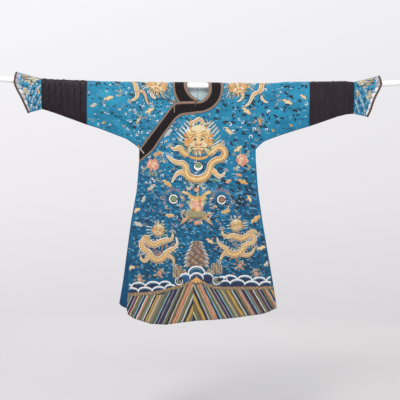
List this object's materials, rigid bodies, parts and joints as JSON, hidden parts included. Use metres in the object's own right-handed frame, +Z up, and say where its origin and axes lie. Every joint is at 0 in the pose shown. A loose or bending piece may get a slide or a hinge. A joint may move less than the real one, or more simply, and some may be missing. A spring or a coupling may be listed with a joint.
{
  "type": "dragon robe on hanging rod",
  "caption": "Long blue silk dragon robe with a crossed front, dark pleated sleeve bands and flared cuffs, spread flat on a thin white rod through its sleeves.",
  "frame": {"origin": "middle of the hanging rod's axis, inside the neck opening", "axes": "+X towards the wearer's left sleeve, +Y from the robe's front to its back, +Z up; the front faces -Y"},
  "size_m": [2.3222, 0.0737, 1.4288],
  "materials": {
    "blue_silk": "woven silk satin with embroidery",
    "dark_silk": "dark corded silk",
    "black_satin": "black satin",
    "brocade": "beige and brown brocade",
    "dark_brocade": "brown brocade",
    "gilt": "gilt, polished",
    "cord": "silk cord",
    "white_paint": "smooth white paint"
  },
  "bodies": {
    "root": {"left_front": "blue_silk", "left_back": "blue_silk", "overlap_front": "blue_silk", "right_front": "blue_silk", "right_back": "blue_silk", "left_sleeve_band": "dark_silk", "right_sleeve_band": "dark_silk", "left_cuff": "blue_silk", "right_cuff": "blue_silk", "left_cuff_edging": "dark_brocade", "right_cuff_edging": "dark_brocade", "overlap_band": "black_satin", "overlap_band_inner_trim": "brocade", "overlap_band_outer_trim": "brocade", "right_neck_band": "black_satin", "right_neck_inner_trim": "brocade", "right_neck_outer_trim": "brocade", "back_neck_band": "black_satin", "back_neck_inner_trim": "brocade", "back_neck_outer_trim": "brocade", "neck_button": "gilt", "collar_button": "gilt", "underarm_button": "gilt", "neck_loop": "cord", "collar_loop": "cord", "underarm_loop": "cord", "collar_button_stay": "cord", "hanging_rod": "white_paint"}
  },
  "joints": []
}
